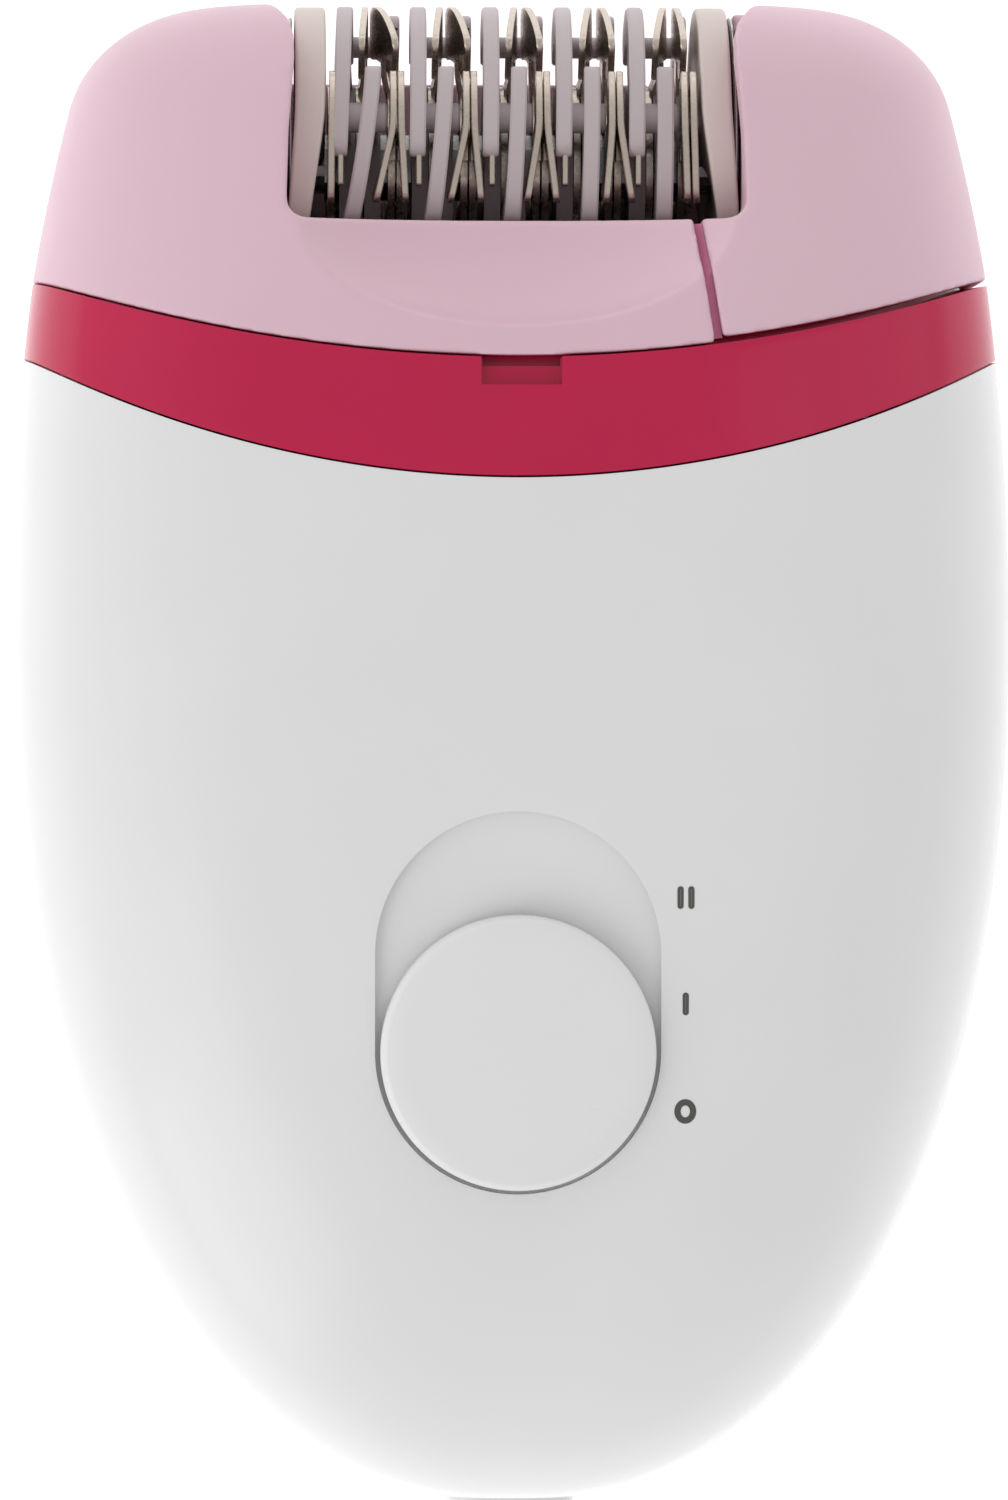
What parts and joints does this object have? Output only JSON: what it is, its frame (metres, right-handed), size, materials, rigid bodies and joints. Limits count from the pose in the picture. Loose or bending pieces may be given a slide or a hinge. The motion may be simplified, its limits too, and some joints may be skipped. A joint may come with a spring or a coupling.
{
  "type": "epilator",
  "caption": "Hand-held corded epilator: rounded handle with a slide switch, and a lift-off head whose motor-driven barrel of sprung tweezer discs sits in an open mouth.",
  "frame": {"origin": "centre of the bounding box seen from the front, on the flat of the back that it lies on", "axes": "+X to the user's right, +Y from the socket end to the epilating head, +Z out of the front face with the switch"},
  "size_m": [0.07, 0.1052, 0.0416],
  "materials": {
    "shell_white": "gloss",
    "head_pink": "satin",
    "collar_magenta": "gloss",
    "inner_lilac": "satin",
    "plate_lilac": "satin",
    "blade_steel": "bright",
    "spring_steel": "bright",
    "axle_steel": "ground",
    "zinc_steel": "zinc plated",
    "armature_copper": "enamelled wire",
    "brass": "machined",
    "nylon": "natural",
    "black_plastic": "moulded",
    "board_green": "solder mask",
    "wire_red": "satin",
    "wire_black": "satin"
  },
  "bodies": {
    "handle": {"front_shell": "shell_white", "rear_shell": "shell_white", "case_screw_left": "zinc_steel", "case_screw_right": "zinc_steel", "collar_ring": "collar_magenta", "gear_chassis": "black_plastic", "idler_axle": "axle_steel", "output_axle": "axle_steel", "motor_can": "zinc_steel", "motor_end_cap": "black_plastic", "circuit_board": "board_green", "switch_block": "black_plastic", "speed_resistor": "nylon", "dc_socket": "shell_white", "socket_pin_left": "brass", "socket_pin_right": "brass", "supply_wire_left": "wire_red", "supply_wire_right": "wire_black", "motor_wire_left": "wire_red", "motor_wire_right": "wire_black", "release_spring_left": "spring_steel", "release_spring_right": "spring_steel"},
    "armature": {"motor_shaft": "axle_steel", "motor_armature": "armature_copper", "motor_pinion": "brass"},
    "idler": {"idler_gear": "nylon"},
    "output": {"output_gear": "nylon"},
    "switch": {"slide_knob": "shell_white", "knob_slider": "nylon"},
    "button": {"release_button": "collar_magenta"},
    "head": {"head_housing": "head_pink", "head_side_cover": "head_pink", "head_base": "inner_lilac", "guide_ring_left": "inner_lilac", "guide_ring_right": "inner_lilac", "bearing_left": "nylon", "bearing_right": "nylon"},
    "barrel": {"barrel_axle": "blade_steel", "barrel_gear": "nylon", "tweezer_disc_1_left": "blade_steel", "tweezer_disc_1_middle": "blade_steel", "tweezer_disc_1_right": "blade_steel", "tweezer_disc_2_left": "blade_steel", "tweezer_disc_2_middle": "blade_steel", "tweezer_disc_2_right": "blade_steel", "tweezer_disc_3_left": "blade_steel", "tweezer_disc_3_middle": "blade_steel", "tweezer_disc_3_right": "blade_steel", "tweezer_disc_4_left": "blade_steel", "tweezer_disc_4_middle": "blade_steel", "tweezer_disc_4_right": "blade_steel", "tweezer_disc_5_left": "blade_steel", "tweezer_disc_5_middle": "blade_steel", "tweezer_disc_5_right": "blade_steel", "tweezer_disc_end": "blade_steel", "lifter_carrier_1": "plate_lilac", "lifter_carrier_2": "plate_lilac", "lifter_carrier_3": "plate_lilac", "lifter_carrier_4": "plate_lilac", "lifter_carrier_5": "plate_lilac"}
  },
  "joints": [
    {"name": "head_lift", "type": "slide", "parent": "handle", "child": "head", "axis": [0, 1, 0], "range_m": [0, 0.045]},
    {"name": "barrel_spin", "type": "hinge", "parent": "head", "child": "barrel", "pos_m": [0, 0.0413, 0.02], "axis": [1, 0, 0], "continuous": true},
    {"name": "output_spin", "type": "hinge", "parent": "handle", "child": "output", "pos_m": [0, 0.02674, 0.02], "axis": [1, 0, 0], "continuous": true},
    {"name": "idler_spin", "type": "hinge", "parent": "handle", "child": "idler", "pos_m": [0, 0.01668, 0.02], "axis": [1, 0, 0], "continuous": true},
    {"name": "motor_spin", "type": "hinge", "parent": "handle", "child": "armature", "pos_m": [0, 0.00462, 0.02], "axis": [1, 0, 0], "continuous": true},
    {"name": "switch_slide", "type": "slide", "parent": "handle", "child": "switch", "axis": [0, 0.9982, 0.0593], "range_m": [0, 0.0067]},
    {"name": "release_press", "type": "slide", "parent": "handle", "child": "button", "axis": [0, 0, 1], "range_m": [0, 0.0012], "stiffness_N_per_m": 300, "deforming": ["release_spring_left", "release_spring_right"]}
  ],
  "couplings": [
    {"joint": "output_spin", "follows": "barrel_spin", "ratio": -1.2308},
    {"joint": "idler_spin", "follows": "barrel_spin", "ratio": 2.2857},
    {"joint": "motor_spin", "follows": "barrel_spin", "ratio": -5.551}
  ]
}
